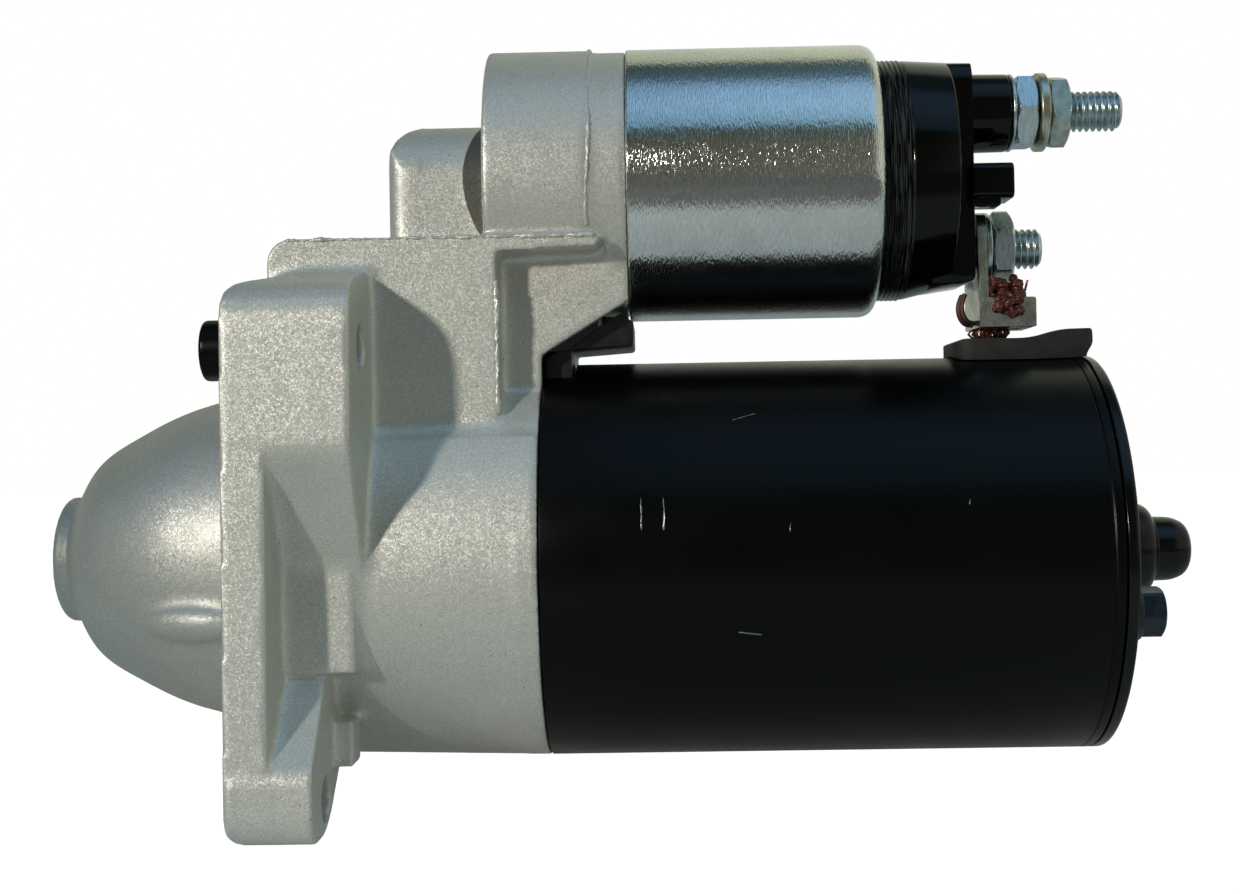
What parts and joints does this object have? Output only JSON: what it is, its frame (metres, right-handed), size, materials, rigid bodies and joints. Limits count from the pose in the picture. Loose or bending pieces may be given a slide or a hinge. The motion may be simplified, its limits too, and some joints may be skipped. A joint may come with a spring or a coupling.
{
  "type": "starter motor",
  "caption": "Geared starter motor: cast nose housing with bolt ears, black motor body, plated solenoid with terminals, sliding pinion and lever inside.",
  "frame": {"origin": "on the shaft axis, in the plane of the mounting face", "axes": "+X along the shaft from the pinion end to the commutator end, +Z from the shaft towards the solenoid"},
  "size_m": [0.2198, 0.112, 0.1445],
  "materials": {
    "cast_aluminium": "sand-cast, fine sparkling grain",
    "black_paint": "semi-gloss black enamel",
    "zinc_plate": "bright zinc plating, brushed round",
    "steel": "machined",
    "dark_steel": "oiled black oxide",
    "moulded_black": "glossy moulding compound",
    "rubber": "matt moulded rubber",
    "copper": "bare copper, slightly oxidised",
    "bronze": "sintered bronze",
    "ferrite": "matt ceramic magnet",
    "carbon": "copper-graphite brush",
    "nylon": "glass-filled nylon"
  },
  "bodies": {
    "frame": {"drive_end_housing": "cast_aluminium", "locating_sleeve": "black_paint", "nose_bush": "bronze", "yoke_tube": "black_paint", "end_cover": "black_paint", "rear_bush": "bronze", "through_bolt_1": "dark_steel", "through_bolt_2": "dark_steel", "solenoid_can": "zinc_plate", "solenoid_cap": "moulded_black", "solenoid_coil": "copper", "solenoid_core": "steel", "solenoid_screw_1": "zinc_plate", "solenoid_screw_2": "zinc_plate", "solenoid_screw_3": "zinc_plate", "battery_stud": "zinc_plate", "battery_washer": "zinc_plate", "battery_nut_inner": "zinc_plate", "battery_lock_washer": "zinc_plate", "battery_nut_outer": "zinc_plate", "motor_stud": "zinc_plate", "motor_lock_washer": "zinc_plate", "motor_nut": "zinc_plate", "switch_blade": "zinc_plate", "cable_lug": "zinc_plate", "motor_lead": "copper", "lead_grommet": "rubber", "lever_bracket": "rubber", "lever_pin": "steel", "return_spring": "dark_steel", "gearbox_plate": "steel", "ring_gear": "nylon", "brush_holder": "steel", "magnet_1": "ferrite", "magnet_2": "ferrite", "magnet_3": "ferrite", "magnet_4": "ferrite", "magnet_5": "ferrite", "magnet_6": "ferrite"},
    "armature": {"armature_shaft": "steel", "armature_core": "dark_steel", "winding_front": "copper", "winding_rear": "copper", "commutator": "copper"},
    "output": {"output_shaft": "steel", "stop_ring": "steel"},
    "planet_1": {"planet_gear_1": "steel"},
    "planet_2": {"planet_gear_2": "steel"},
    "planet_3": {"planet_gear_3": "steel"},
    "collar": {"shift_collar": "nylon"},
    "clutch": {"clutch_barrel": "dark_steel"},
    "drive_pinion": {"pinion": "steel"},
    "lever": {"shift_lever": "nylon"},
    "core_plunger": {"plunger": "steel"},
    "bridge": {"contact_bridge": "copper"},
    "brush_a": {"brush_1": "carbon"},
    "brush_b": {"brush_2": "carbon"},
    "brush_c": {"brush_3": "carbon"},
    "brush_d": {"brush_4": "carbon"}
  },
  "joints": [
    {"name": "armature_spin", "type": "hinge", "parent": "frame", "child": "armature", "pos_m": [0.1, 0, 0], "axis": [1, 0, 0], "continuous": true},
    {"name": "output_spin", "type": "hinge", "parent": "frame", "child": "output", "pos_m": [0.02, 0, 0], "axis": [1, 0, 0], "continuous": true},
    {"name": "planet_1_spin", "type": "hinge", "parent": "output", "child": "planet_1", "pos_m": [0.066, 0.01485, 0], "axis": [1, 0, 0], "continuous": true},
    {"name": "planet_2_spin", "type": "hinge", "parent": "output", "child": "planet_2", "pos_m": [0.066, -0.00743, 0.01286], "axis": [1, 0, 0], "continuous": true},
    {"name": "planet_3_spin", "type": "hinge", "parent": "output", "child": "planet_3", "pos_m": [0.066, -0.00743, -0.01286], "axis": [1, 0, 0], "continuous": true},
    {"name": "plunger_slide", "type": "slide", "parent": "frame", "child": "core_plunger", "axis": [1, 0, 0], "range_m": [0, 0.00816], "stiffness_N_per_m": 1200, "springref_m": -0.004, "deforming": ["return_spring"]},
    {"name": "lever_swing", "type": "hinge", "parent": "frame", "child": "lever", "pos_m": [0.0347, 0, 0.046], "axis": [0, 1, 0], "range_deg": [0, 17.45]},
    {"name": "drive_slide", "type": "slide", "parent": "output", "child": "collar", "axis": [-1, 0, 0], "range_m": [0, 0.014]},
    {"name": "drive_twist", "type": "hinge", "parent": "collar", "child": "clutch", "pos_m": [0.02, 0, 0], "axis": [1, 0, 0], "range_deg": [0, 36]},
    {"name": "pinion_freewheel", "type": "hinge", "parent": "clutch", "child": "drive_pinion", "pos_m": [-0.005, 0, 0], "axis": [1, 0, 0], "continuous": true},
    {"name": "bridge_slide", "type": "slide", "parent": "frame", "child": "bridge", "axis": [1, 0, 0], "range_m": [0, 0.0024]},
    {"name": "brush_a_slide", "type": "slide", "parent": "frame", "child": "brush_a", "axis": [0, 0.454, 0.891], "range_m": [0, 0.003], "stiffness_N_per_m": 400, "springref_m": -0.004},
    {"name": "brush_b_slide", "type": "slide", "parent": "frame", "child": "brush_b", "axis": [0, -0.891, 0.454], "range_m": [0, 0.003], "stiffness_N_per_m": 400, "springref_m": -0.004},
    {"name": "brush_c_slide", "type": "slide", "parent": "frame", "child": "brush_c", "axis": [0, -0.454, -0.891], "range_m": [0, 0.003], "stiffness_N_per_m": 400, "springref_m": -0.004},
    {"name": "brush_d_slide", "type": "slide", "parent": "frame", "child": "brush_d", "axis": [0, 0.891, -0.454], "range_m": [0, 0.003], "stiffness_N_per_m": 400, "springref_m": -0.004}
  ],
  "couplings": [
    {"joint": "output_spin", "follows": "armature_spin", "ratio": 0.2037},
    {"joint": "planet_1_spin", "follows": "armature_spin", "ratio": -0.54745},
    {"joint": "planet_2_spin", "follows": "armature_spin", "ratio": -0.54745},
    {"joint": "planet_3_spin", "follows": "armature_spin", "ratio": -0.54745},
    {"joint": "lever_swing", "follows": "plunger_slide", "rad_per_m": 37.313},
    {"joint": "drive_slide", "follows": "plunger_slide", "ratio": 1.7164},
    {"joint": "drive_twist", "follows": "plunger_slide", "rad_per_m": 77},
    {"joint": "bridge_slide", "follows": "plunger_slide", "ratio": 0.294}
  ]
}
